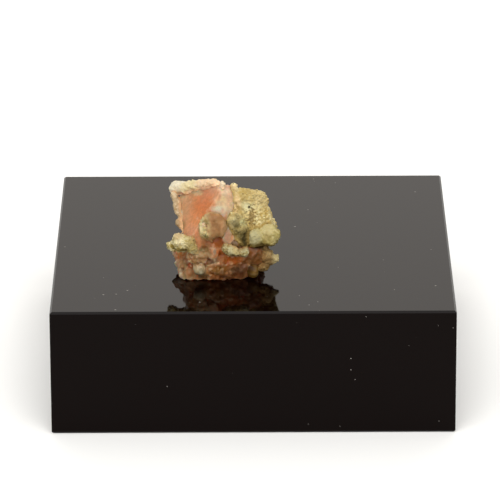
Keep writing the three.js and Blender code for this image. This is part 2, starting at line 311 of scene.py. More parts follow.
@cache
def seam_tree():
    """Draws what lies close to a neighbour onto it, and a little into it, as minerals grow together."""
    inputs = {"Neighbours": "Collection", "Seam": SEAM, "Sink": 0.12 * MM}
    tree, given, made = surface_tree("Closed Seam", inputs)
    towards, gap = nearest_on(tree, given["Neighbours"])
    # A gap closes fully up to 1.2 seam widths, and less and less up to 3.2.
    close = ramp(gap, given["Seam"] * 1.2, given["Seam"] * 3.2, 1.0, 0.0)
    # With no neighbour at all, the gap is given as 0.
    alone = step("LESS_THAN", gap, 1e-9)
    reach = (gap + given["Sink"]) * close * (1.0 - alone)
    return moved(tree, given, made, step("NORMALIZE", towards) * reach)


def facets(where, size):
    """Small tilted faces on a surface: each point's rise, within about 0.5 of 0, and its face's value."""
    lean_height, step_height, dome_height, dome_radius = 1.6, 0.6, 0.7, 0.45
    warped = drifted(where, 0.5 / size, 1.0, size)
    faces = cells(warped, size)
    offset = (warped - faces["Position"]) * (1.0 / size)
    tilt = step("DOT_PRODUCT", offset, faces["Color"] - MIDDLE) * lean_height
    each = add(where.tree, "ShaderNodeSeparateXYZ", {0: faces["Color"]})[0]
    rise = step("MULTIPLY_ADD", each - 0.5, step_height, tilt)
    return step("MULTIPLY_ADD", dome_radius - faces["Distance"], dome_height, rise), each


def broken_share(tree, where, given):
    """1 where a surface is broken into faces: beyond the break, in its direction, with a ragged limit."""
    ragged_size, ragged_depth, limit = 1.5 * MM, 4 * MM, 0.5 * MM
    beyond = step("DOT_PRODUCT", position_of(tree) - given["Break"], given["Break Direction"])
    beyond = step("MULTIPLY_ADD", uneven(where, ragged_size, 2.0), ragged_depth, beyond)
    return ramp(beyond, -limit, limit)


BREAK_INPUTS = {
    "Facet Size": 0.45 * MM,
    "Break": (0, 0, 1),
    "Break Direction": (0, 0, -1),
    "Shift": 0.0,
}


def bulge(tree, steps):
    """How far a point stands out of its surroundings: above 0 on an edge, below 0 in a hollow."""
    return step("DOT_PRODUCT", position_of(tree) - blurred_position(tree, steps), normal_of(tree))


@cache
def relief_tree():
    """A mineral's relief: broad and fine unevenness, chipped edges, and the small faces it broke into."""
    inputs = {
        "Relief": 0.05 * MM,
        "Relief Size": 0.9 * MM,
        "Fine Relief": 0.02 * MM,
        "Fine Size": 0.2 * MM,
        "Chipping": 0.0,
        "Facets": 0.0,
        **BREAK_INPUTS,
    }
    tree, given, made = surface_tree("Relief", inputs)
    # Noise mostly stays within 0.17 of its middle, so these bring hills and chips to their full height.
    hill_span, chip_span = 3.0, -2.0
    where = shifted_position(tree, given["Shift"])
    edge = ramp(bulge(tree, EDGE_STEPS), 0.02 * MM, 0.12 * MM)
    rise = edge * noise(where, CHIP_SIZE, 3.0, 0.6) * (given["Chipping"] * chip_span)
    for size, detail, height in (("Relief Size", 3.0, "Relief"), ("Fine Size", 2.0, "Fine Relief")):
        hills = uneven(where, given[size], detail, 0.6)
        rise = step("MULTIPLY_ADD", hills, given[height] * hill_span, rise)
    faces = facets(where, given["Facet Size"])[0] * given["Facets"]
    rise = step("MULTIPLY_ADD", faces, broken_share(tree, where, given), rise)
    return moved(tree, given, made, normal_of(tree) * rise)


@cache
def skin_tree():
    """Smooths a grown surface, and keeps on its points what its material reads."""
    inputs = {"Neighbours": "Collection", "Smoothing": 1, "Spread": EDGE_STEPS, **BREAK_INPUTS}
    tree, given, made = surface_tree("Grown Skin", inputs)
    where = shifted_position(tree, given["Shift"])
    inputs = {"Geometry": given["Geometry"], "Position": blurred_position(tree, given["Smoothing"])}
    body = add(tree, "GeometryNodeSetPosition", inputs)[0]
    kept = {
        "contact": ramp(nearest_on(tree, given["Neighbours"])[1], 0.1 * MM, 0.8 * MM, 1.0, 0.0),
        "bulge": bulge(tree, given["Spread"]),
        "grain": facets(where, given["Facet Size"])[1],
        "broken": broken_share(tree, where, given),
    }
    for name, value in kept.items():
        inputs = {"Geometry": body, "Name": name, "Value": value}
        kind = "GeometryNodeStoreNamedAttribute"
        body = add(tree, kind, inputs, data_type="FLOAT", domain="POINT")[0]
    return finished(tree, given, made, body)


# ---------------------------------------------------------------- shader groups


@cache
def tone_group():
    """Colour of a mineral: soft patches, grain by grain, painted shade that darkens its hollows, and paler
    on its edges.
    """
    inputs = {
        "Base": (0.5, 0.5, 0.5, 1),
        "Light": (0.8, 0.8, 0.8, 1),
        "Dark": (0.2, 0.2, 0.2, 1),
        "Hollow": (0.1, 0.1, 0.1, 1),
        "Tint": (0.5, 0.5, 0.5, 1),
        "Patch Size": 1 * MM,
        "Grain": 0.5,
        "Bulge": 0.0,
        "Hollow Depth": 0.05 * MM,
        "Edge Share": 0.5,
    }
    tree, given, made = shader_tree("Mineral Tone", inputs, {"Color": "Color", "Height": "Float"})
    mottle_size, mottle_share, grain_share = 0.17 * MM, 1.3, 0.12
    where, light = given["Position"], given["Light"]
    patches = noise(where, given["Patch Size"], 4.0, 0.6)
    mottle = noise(where, mottle_size, 3.0, 0.6)
    tone = step("MULTIPLY_ADD", given["Grain"] - 0.5, grain_share, patches)
    tone = step("MULTIPLY_ADD", mottle - 0.5, mottle_share, tone)
    tinted = noise(where + FAR_OFF, given["Patch Size"] * 0.6, 3.0, 0.6)
    color = blend(ramp(tinted, 0.46, 0.62, 0.0, 0.8), given["Base"], given["Tint"])
    color = blend(ramp(tone, 0.5, 0.75), color, light)
    color = blend(ramp(tone, 0.48, 0.24), color, given["Dark"])
    edge = given["Bulge"] / given["Hollow Depth"]
    color = blend(ramp(edge, 0.2, 1.4) * given["Edge Share"], color, light)
    # painted shade: the hollow colour darkens the hollows
    color = blend(ramp(edge, -0.2, -1.6), color, given["Hollow"])
    connect(tree, made["Color"], color)
    connect(tree, made["Height"], mottle)
    return tree


@cache
def stain_group():
    """Where a spot lies, such as a stain, a zone, a painted highlight or a painted shadow: 1 within its
    radius of its centre, fading to 0 with a ragged edge.
    """
    inputs = {
        "Centre": (0, 0, 0),
        "Stretch": (1, 1, 1),
        "Radius": 1 * MM,
        "Fade": 0.5,
        "Ragged": 0.5,
        "Ragged Size": 0.6 * MM,
    }
    tree, given, made = shader_tree("Stain", inputs, {"Mask": "Float"})
    where, fade = given["Position"], given["Fade"]
    away = step("LENGTH", (where - given["Centre"]) / given["Stretch"])
    wander = uneven(where, given["Ragged Size"], 3.0, 0.6)
    share = step("MULTIPLY_ADD", wander, given["Ragged"] * 2.0, away / given["Radius"])
    connect(tree, made["Mask"], ramp(share, 1.0 - fade, 1.0 + fade, 1.0, 0.0))
    return tree


@cache
def speck_group():
    """Small specks, thinly spread, each of its own size."""
    inputs = {"Spacing": 2 * MM, "Size": 0.1 * MM, "Share": 0.3}
    tree, given, made = shader_tree("Specks", inputs, {"Mask": "Float"})
    smallest, core = 0.35, 0.6
    size, spacing = given["Size"], given["Spacing"]
    found = cells(drifted(given["Position"], 1.0 / size, 2.0, size * 2.0), spacing)
    each = add(tree, "ShaderNodeSeparateColor", {0: found["Color"]})
    reach = size / spacing * (each[1] + smallest)
    dot = ramp(found["Distance"], reach, reach * core)
    connect(tree, made["Mask"], dot * step("LESS_THAN", each[0], given["Share"]))
    return tree


def use(tree, build, inputs):
    """A shared shader group placed in a material with its own values."""
    return add(tree, "ShaderNodeGroup", inputs, node_tree=build())


# ---------------------------------------------------------------- materials


def new_material(name, **constants):
    """A material with its Principled BSDF. constants are set on the shader's own sockets."""
    material = bpy.data.materials.new(name)
    material.use_nodes = True
    tree = material.node_tree
    shader = tree.nodes["Principled BSDF"]
    for key, value in constants.items():
        shader.inputs[key.replace("_", " ")].default_value = value
    return material, tree, shader, add(tree, "ShaderNodeTexCoord")["Object"]


def surface_value(tree, name):
    """A value that the grown skin stored on the piece."""
    return add(tree, "ShaderNodeAttribute", attribute_name=name)["Fac"]


def spot(at, radius, color, strength=1.0, fade=0.4, ragged=0.4, size=0.8, stretch=(1, 1.5, 1)):
    """A spot of colour, such as a stain, a zone, a painted highlight or a painted shadow: its centre in the
    specimen's frame, its radius, and its edge.
    """
    inputs = {
        "Centre": place(*at),
        "Stretch": stretch,
        "Radius": radius * MM,
        "Fade": fade,
        "Ragged": ragged,
        "Ragged Size": size * MM,
    }
    return inputs, strength, srgb(*color)


def stained(where, color, spots):
    """Lays spots over a colour, in their order: stains, zones, and a few painted highlights and shadows."""
    for inputs, strength, spot_color in spots:
        mask = use(where.tree, stain_group, {"Position": where, **inputs})["Mask"]
        color = blend(mask * strength, color, spot_color)
    return color


def near_contact(tree, color, look, usual_share):
    """Colours the rim where a mineral meets its neighbours."""
    near = surface_value(tree, "contact") * look.get("contact_share", usual_share)
    return blend(near, color, srgb(*look["contact"]))


def finish_skin(tree, shader, color, rough, height, distance, strength):
    """Gives a shader its colour, its roughness, and its bump."""
    inputs = {"Height": height, "Distance": distance, "Strength": strength}
    normal = add(tree, "ShaderNodeBump", inputs)[0]
    for name, value in (("Base Color", color), ("Roughness", rough), ("Normal", normal)):
        connect(tree, shader.inputs[name], value)


def granular_material(look, **constants):
    """A dull mineral of small grains, such as feldspar or albite."""
    material, tree, shader, where = new_material(look["name"], **constants)
    base, light, dark, hollow_shade = (srgb(*shade) for shade in look["shades"])
    inputs = {
        "Position": where,
        "Base": base,
        "Light": light,
        "Dark": dark,
        "Hollow": hollow_shade,
        "Tint": srgb(*look["tint"]) if "tint" in look else light,
        "Patch Size": look.get("patch", 0.9) * MM,
        "Grain": surface_value(tree, "grain"),
        "Bulge": surface_value(tree, "bulge"),
        "Hollow Depth": 0.06 * MM,
        "Edge Share": look.get("edge", 0.5),
    }
    tone = use(tree, tone_group, inputs)
    color = stained(where, tone["Color"], look["stains"])
    color = near_contact(tree, color, look, 0.6)
    if "specks" in look:
        inputs = {"Position": where, "Spacing": 0.5 * MM, "Size": 0.11 * MM, "Share": 0.35}
        specks = use(tree, speck_group, inputs)["Mask"]
        color = blend(specks, color, srgb(*look["specks"]))
    rough = ramp(tone["Height"], 0.2, 0.8, 0.55, 0.9)
    finish_skin(tree, shader, color, rough, tone["Height"], 0.05 * MM, 0.5)
    return material


def crystal_material():
    """Translucent pink fluorite: satin faces, frosted pale edges, veils inside, and deeper zones, with
    painted shade in its hollows and a painted highlight and painted shadows among its zones.
    """
    material, tree, shader, where = new_material(
        "pink_fluorite",
        Transmission_Weight=0.38,
        IOR=1.434,
        Specular_IOR_Level=0.15,
        Subsurface_Weight=1.0,
        Subsurface_Radius=(1.0, 0.5, 0.36),
        Subsurface_Scale=0.9 * MM,
    )
    color = blend(ramp(noise(where, 1.6 * MM, 3.0), 0.35, 0.65), PINK, PINK_PALE)
    color = stained(where, color, FLUORITE_ZONES)
    veil = ramp(noise(where, 0.5 * MM, 4.0, 0.65), 0.56, 0.75, 0.0, 0.45)
    color = blend(veil, color, FROST)
    mottle = ramp(noise(where, 0.28 * MM, 4.0, 0.7), 0.35, 0.65, 0.78, 1.0)
    color = blend(1.0, color, mottle, "MULTIPLY")
    edge = ramp(surface_value(tree, "bulge"), 0.01 * MM, 0.08 * MM, 0.0, 0.7)
    color = blend(edge, color, FROST)
    shards = add(tree, "ShaderNodeValToRGB", {0: surface_value(tree, "grain")})
    stops = shards.node.color_ramp.elements
    for share, shade in SHARDS:
        stops.new(share).color = (*srgb(*shade), 1)
    for spare in (0, -1):
        stops.remove(stops[spare])
    color = blend(surface_value(tree, "broken") * SHARD_SHARE, color, shards[0])
    color = stained(where, color, FOOT_STAINS_AND_SHADE)
    # painted shade: the hollows are darkened to a rust brown, most of all on the broken faces
    hollow_shade = ramp(surface_value(tree, "bulge"), -0.02 * MM, -0.12 * MM, 0.0, 0.8)
    inputs = {0: hollow_shade, 1: surface_value(tree, "broken") + 0.2}
    hollow_shade = add(tree, "ShaderNodeMath", inputs, operation="MULTIPLY", use_clamp=True)[0]
    color = blend(hollow_shade, color, HOLLOW_SHADE_BROWN)
    rough = ramp(noise(where, 0.35 * MM, 3.0), 0.3, 0.7, 0.28, 0.5)
    streaks = noise(where * STREAK_SQUEEZE, 0.3 * MM, 2.0)
    height = step("MULTIPLY_ADD", streaks, 0.5, noise(where, 0.25 * MM, 3.0))
    finish_skin(tree, shader, color, rough, height, 0.03 * MM, 0.6)
    absorption = add(tree, "ShaderNodeVolumeAbsorption", {"Color": ABSORBED, "Density": ABSORPTION})
    connect(tree, tree.nodes["Material Output"].inputs["Volume"], absorption[0])
    return material


PINK = srgb(214, 134, 82)
PINK_PALE = srgb(236, 172, 120)
FROST = srgb(250, 226, 196)
# the painted shade laid in the fluorite's hollows
HOLLOW_SHADE_BROWN = srgb(104, 60, 20)
ABSORBED = (0.96, 0.62, 0.42)  # the share of red, green and blue light that the fluorite lets through
ABSORPTION = 70.0  # per metre
STREAK_SQUEEZE = (1.0, 1.0, 0.15)  # draws noise out into upright streaks
# Colours of the small faces of broken fluorite, each at its place among the faces' random values.
SHARDS = [
    (0.02, (110, 64, 20)),
    (0.3, (172, 106, 44)),
    (0.55, (190, 132, 66)),
    (0.75, (184, 148, 86)),
    (0.95, (214, 190, 146)),
]
SHARD_SHARE = 0.35  # of those colours, over the fluorite's own

# Zones of colour in the fluorite, laid over one another in this order. Among them are a painted shadow and a
# painted highlight, named below.
FLUORITE_ZONES = [
    # the large window
    spot((-6.6, 0.6, 10.6), 2.2, (226, 168, 126), 0.9, fade=1.0),
    spot((-6.2, -1.2, 9.4), 1.9, (224, 174, 126), 0.8, fade=1.0),
    spot((-5.7, -3.3, 8.4), 1.3, (228, 176, 130), 0.7, fade=1.0),
    spot((-2.9, -3.4, 11.6), 1.9, (234, 138, 78), 0.85, fade=1.0),
    spot((-3.8, -4.1, 10.1), 1.6, (234, 140, 80), 0.8, fade=1.0),
    spot((-4.5, -4.6, 8.8), 1.3, (248, 168, 110), 0.8, fade=0.9),
    spot((-5.1, -5.3, 7.7), 1.0, (232, 172, 130), 0.8, fade=0.8),
    spot((-3.0, -1.5, 12.6), 1.4, (238, 166, 124), 0.8, fade=1.0),
    # frosted along the window's upper and left edge, and a painted shadow of the plates at (-6.4, -3.2, 7.8)
    spot((-6.5, 1.5, 10.9), 0.8, (250, 204, 156), 0.9, fade=0.8),
    spot((-6.4, -3.2, 7.8), 0.5, (176, 138, 92), 0.8, stretch=(0.7, 1.5, 1.6)),
    spot((-1.9, -2.2, 13.3), 0.7, (244, 192, 160), 0.8, fade=0.8),
    spot((-4.3, -0.2, 12.2), 0.7, (240, 206, 156), 0.9, ragged=0.9, size=0.4, stretch=(1.6, 1.6, 0.8)),
    spot((-6.8, 2.4, 11.4), 0.9, (250, 226, 200), stretch=(1, 1, 0.8)),
    spot((-5.1, 0.8, 12.1), 1.0, (248, 222, 184), stretch=(1.5, 1, 0.5)),
    spot((-3.2, -0.6, 13.2), 1.0, (250, 214, 182), stretch=(1.5, 1, 0.5)),
    spot((-1.7, -1.8, 14.1), 0.9, (250, 214, 186), stretch=(1.5, 1, 0.5)),
    spot((-7.3, 1.2, 9.8), 0.6, (248, 218, 184), stretch=(0.7, 1, 2)),
    spot((-6.9, -1.1, 8.7), 0.6, (248, 218, 184), stretch=(0.7, 1, 2)),
    # the frosted front face, with a painted highlight at (-1.0, -4.5, 10.9)
    spot((0.0, -4.0, 11.8), 2.0, (255, 216, 174), fade=0.3, stretch=(0.9, 1, 1.2)),
    spot((-0.7, -4.1, 12.0), 1.0, (255, 226, 176), stretch=(0.7, 1, 1.2)),
    spot((-0.3, -3.8, 13.7), 1.0, (255, 222, 184)),
    spot((1.3, -3.5, 12.6), 1.0, (240, 190, 150), 0.7, stretch=(0.8, 1, 1.6)),
    spot((-1.0, -4.5, 10.9), 0.75, (255, 246, 216), fade=0.8, ragged=0.8, size=0.5, stretch=(1.4, 1, 0.6)),
    spot((-0.4, -4.4, 10.2), 0.5, (255, 222, 190), stretch=(0.8, 1, 1.6)),
    spot((-1.2, -4.0, 13.0), 0.6, (232, 158, 110), 0.7, stretch=(0.8, 1, 1.6)),
    # below the large quartz grain
    spot((-1.3, -5.4, 6.5), 1.4, (172, 94, 22), stretch=(0.9, 1, 1.3)),
    spot((-3.2, -5.4, 5.8), 0.9, (184, 122, 66), stretch=(0.7, 1, 1.4)),
    spot((-2.6, -5.8, 5.0), 0.9, (166, 120, 74), 0.8, ragged=0.9, size=0.4, stretch=(0.8, 1.5, 1.2)),
    spot((-1.7, -6.4, 4.8), 0.4, (176, 150, 122), ragged=1.0, size=0.3, stretch=(0.6, 1.5, 1.5)),
    spot((-0.8, -5.9, 4.3), 0.7, (206, 104, 36)),
    spot((0.1, -5.4, 7.0), 1.05, (196, 166, 128), fade=0.2, stretch=(0.65, 1, 1.5)),
    spot((0.2, -5.4, 6.9), 0.5, (208, 150, 114), 0.8, stretch=(0.8, 2, 1.5)),
    spot((0.7, -5.5, 6.0), 0.4, (216, 178, 136), 0.8),
    spot((1.5, -5.2, 6.0), 0.5, (142, 104, 60), stretch=(0.7, 3, 1.2)),
    # the crystal at the lower left
    spot((-6.7, -2.8, 2.7), 1.6, (238, 156, 78), 0.9, ragged=0.7),
    spot((-6.3, -4.3, 1.9), 1.2, (220, 164, 110), 0.8, ragged=0.9, size=0.5),
    spot((-6.1, -5.7, 0.8), 1.5, (184, 146, 100), 0.9, ragged=0.7),
    spot((-5.5, -5.6, 2.4), 0.55, (222, 98, 54)),
    spot((-8.1, -0.6, 2.3), 0.5, (226, 196, 162), stretch=(1, 4, 2)),
    spot((-7.6, -2.8, 1.5), 0.5, (226, 196, 162), stretch=(1, 3, 2)),
    spot((-7.0, -4.8, 0.5), 0.5, (226, 200, 168), stretch=(1, 3, 1.6)),
    spot((-6.0, -6.0, 0.0), 0.7, (220, 194, 160), stretch=(1.8, 2, 0.5)),
    # the broken foot
    spot((-4.4, -6.2, 2.8), 1.2, (192, 154, 108), 0.8, ragged=0.8, size=0.4),
    spot((-3.6, -6.5, 3.9), 1.3, (176, 148, 100), ragged=0.7, size=0.4),
    spot((-2.2, -6.6, 3.1), 1.0, (206, 182, 146), ragged=0.7, size=0.4),
    spot((-1.1, -6.8, 2.0), 1.4, (148, 100, 38), stretch=(1.2, 1, 0.7)),
    spot((1.2, -6.1, 3.3), 1.3, (204, 104, 26), stretch=(1.4, 1, 0.6)),
]

# Brown stains, and a painted shadow under the feldspar blocks, laid over the colours of the small broken
# faces.
FOOT_STAINS_AND_SHADE = [
    spot((2.3, -5.7, 1.5), 1.3, (84, 42, 6), 0.8, ragged=0.7),
    spot((1.2, -5.9, 1.8), 0.5, (84, 54, 20), 0.8, ragged=0.9, size=0.3, stretch=(1.6, 2, 0.7)),
    spot((4.3, -5.2, 3.5), 1.5, (112, 72, 22), 0.8),
    spot((3.6, -5.4, 4.7), 0.8, (142, 84, 20), 0.95),
    # painted shadow in the gap under the feldspar blocks
    spot((4.9, -5.0, 5.1), 0.8, (54, 32, 6), stretch=(1.4, 2, 0.7)),
    spot((-3.4, -6.4, 0.9), 0.8, (112, 96, 52), 0.8, ragged=0.9, size=0.4),
    spot((0.2, -6.6, 0.7), 0.7, (96, 62, 24), 0.8, ragged=0.9, size=0.4, stretch=(2, 2, 0.8)),
    spot((-0.6, -6.6, 2.7), 0.4, (118, 76, 34), 0.6, ragged=1.0, size=0.3, stretch=(1.6, 2, 0.7)),
]


def quartz_material(look, **constants):
    """A translucent grain of quartz, cloudy inside and worn outside."""
    material, tree, shader, where = new_material(look["name"], IOR=1.544, **constants)
    base, light = (srgb(*shade) for shade in look["shades"])
    cloud = ramp(noise(where, 0.45 * MM, 3.0), 0.35, 0.65)
    color = stained(where, blend(cloud, base, light), look.get("stains", []))
    edge = ramp(surface_value(tree, "bulge"), 0.01 * MM, 0.06 * MM, 0.0, look.get("edge", 0.4))
    color = near_contact(tree, blend(edge, color, light), look, 0.5)
    smooth, worn = look.get("rough", (0.25, 0.5))
    rough = ramp(noise(where, 0.3 * MM, 3.0), 0.3, 0.7, smooth, worn)
    pitting = noise(where, 0.16 * MM, 3.0, 0.6)
    finish_skin(tree, shader, color, rough, pitting, 0.03 * MM, 0.6)
    return material


def acrylic_material():
    """Black acrylic, polished: faint scratches, a haze of handling, and a few specks of dust."""
    settings = bpy.context.scene.specimen
    material, tree, shader, where = new_material("black_acrylic", IOR=settings.block_ior)
    settled = ramp(noise(where, 12 * MM, 2.0), 0.45, 0.65, 0.08, 0.5)
    masks = []
    for spacing, size, share in ((1.6 * MM, 0.13 * MM, settled), (6.0 * MM, 0.26 * MM, 0.2)):
        inputs = {"Position": where, "Spacing": spacing, "Size": size, "Share": share}
        masks.append(use(tree, speck_group, inputs)["Mask"])
    specks = step("MAXIMUM", *masks)
    color = blend(specks * settings.block_dust, tuple(settings.block_color), DUST)
    haze = ramp(noise(where, 9 * MM, 3.0), 0.35, 0.7, 0.02, 0.07)
    rough = step("MULTIPLY_ADD", specks, 0.5, haze)
    scratches = noise(where * SCRATCH_SQUEEZE, 0.5 * MM, 2.0)
    finish_skin(tree, shader, color, rough, scratches, 0.002 * MM, 0.2)
    return material


DUST = srgb(190, 184, 176)
SCRATCH_SQUEEZE = (0.06, 1.0, 1.0)  # draws noise out into scratches along X

CREAM = (210, 196, 148)
KHAKI = (182, 160, 102)
OCHRE = (158, 130, 70)
UMBER = (100, 80, 42)
CHLORITE = (104, 92, 52)
CHLORITE_DARK = (58, 48, 20)
BROWN = (120, 84, 44)

# How each mineral is built and coloured, in the order of its growth:
# - relief and grains are a height and a size, and each pull is a centre, a radius and an offset
# - shades are a base and a light one, and on the granular minerals also a dark one and a hollow one, which
#   is painted shade in the hollows
# - a quartz grain is broken on the side of the break that lies towards -X
QUARTZ = {
    "quartz_front_grain": {
        "name": "front_quartz_grain",
        "voxel": 0.06,
        "relief": (0.26, 0.9),
        "break": (-2.7, 0, 0),
        "clear": 0.0,
        "swollen": 0.22,
        "pulls": [
            ((-3.0, -6.4, 7.2), 1.5, (-0.15, -0.1, -0.55)),
            ((-1.2, -6.2, 9.6), 1.2, (0.2, 0, 0.25)),
            ((-4.2, -5.8, 9.6), 1.0, (-0.2, 0, 0.2)),
        ],
        "shades": [(146, 106, 64), (168, 128, 84)],
        "edge": 0.15,
        "contact": (190, 154, 104),
        "contact_share": 0.6,
        "stains": [
            spot((-4.2, -5.6, 9.2), 0.5, (190, 164, 126), 0.7, ragged=0.7, size=0.4, stretch=(0.8, 3, 2.2)),
            spot((-1.8, -6.2, 10.1), 0.7, (138, 98, 58), 0.6, ragged=0.7, size=0.4, stretch=(2.4, 3, 0.6)),
            spot((-0.3, -5.9, 8.4), 0.8, (198, 156, 112), 0.7, ragged=0.6, stretch=(0.7, 2, 1.6)),
            spot((-3.6, -6.0, 8.5), 1.5, (190, 172, 122), fade=0.3, ragged=0.6, stretch=(0.9, 1, 1.4)),
            spot((-3.3, -6.5, 9.6), 0.5, (118, 102, 56), 0.8, ragged=1.0, size=0.3, stretch=(1.4, 1, 0.8)),
            spot((-3.7, -6.2, 8.2), 0.65, (214, 202, 154), ragged=1.3, size=0.3, stretch=(0.6, 1, 1.6)),
            spot((-3.1, -6.5, 7.5), 0.5, (196, 182, 132), ragged=1.3, size=0.3),
            spot((-3.3, -6.5, 9.1), 0.3, (206, 178, 146), ragged=0.8, size=0.3, stretch=(1, 1, 1.3)),
            spot((-2.9, -6.6, 8.8), 0.26, (132, 78, 46), fade=0.7, ragged=0.8, size=0.3,
                 stretch=(0.7, 1, 1.5)),
            spot((-2.9, -6.5, 7.3), 0.4, (116, 104, 56), 0.8, ragged=1.4, size=0.2),
        ],
    },
    "quartz_corner_grain": {
        "name": "corner_quartz_grain",
        "voxel": 0.05,
        "relief": (0.12, 0.8),
        "clear": 0.1,
        "shine": 0.1,
        "rough": (0.3, 0.5),
        "shades": [(98, 70, 20), (126, 96, 40)],
        "contact": (76, 44, 16),
        "stains": [
            spot((3.7, -5.9, 2.0), 0.5, (66, 42, 12), ragged=1.2, size=0.3),
            spot((4.2, -6.1, 1.0), 0.35, (124, 100, 62), 0.7, ragged=1.0, size=0.25, stretch=(2.0, 2, 0.5)),
            spot((4.5, -5.9, 1.9), 0.25, (104, 82, 44), 0.6, ragged=1.0, size=0.25, stretch=(0.5, 2, 2)),
        ],
    },
    "quartz_base_grain": {
        "name": "base_quartz_grain",
        "voxel": 0.05,
        "relief": (0.2, 0.7),
        "clear": 0.0,
        "shades": [(160, 144, 110), (190, 178, 146)],
        "contact": (152, 116, 74),
        "contact_share": 0.8,
    },
    "quartz_foot_bead": {
        "name": "foot_quartz_bead",
        "voxel": 0.04,
        "relief": (0.06, 0.6),
        "shades": [(156, 112, 66), (184, 144, 96)],
        "contact": (140, 90, 44),
    },
    "quartz_brown_bead": {
        "name": "brown_quartz_bead",
        "voxel": 0.04,
        "relief": (0.1, 0.6),
        "swollen": 0.1,
        "shades": [(132, 96, 48), (158, 124, 74)],
        "contact": (104, 70, 32),
    },
}

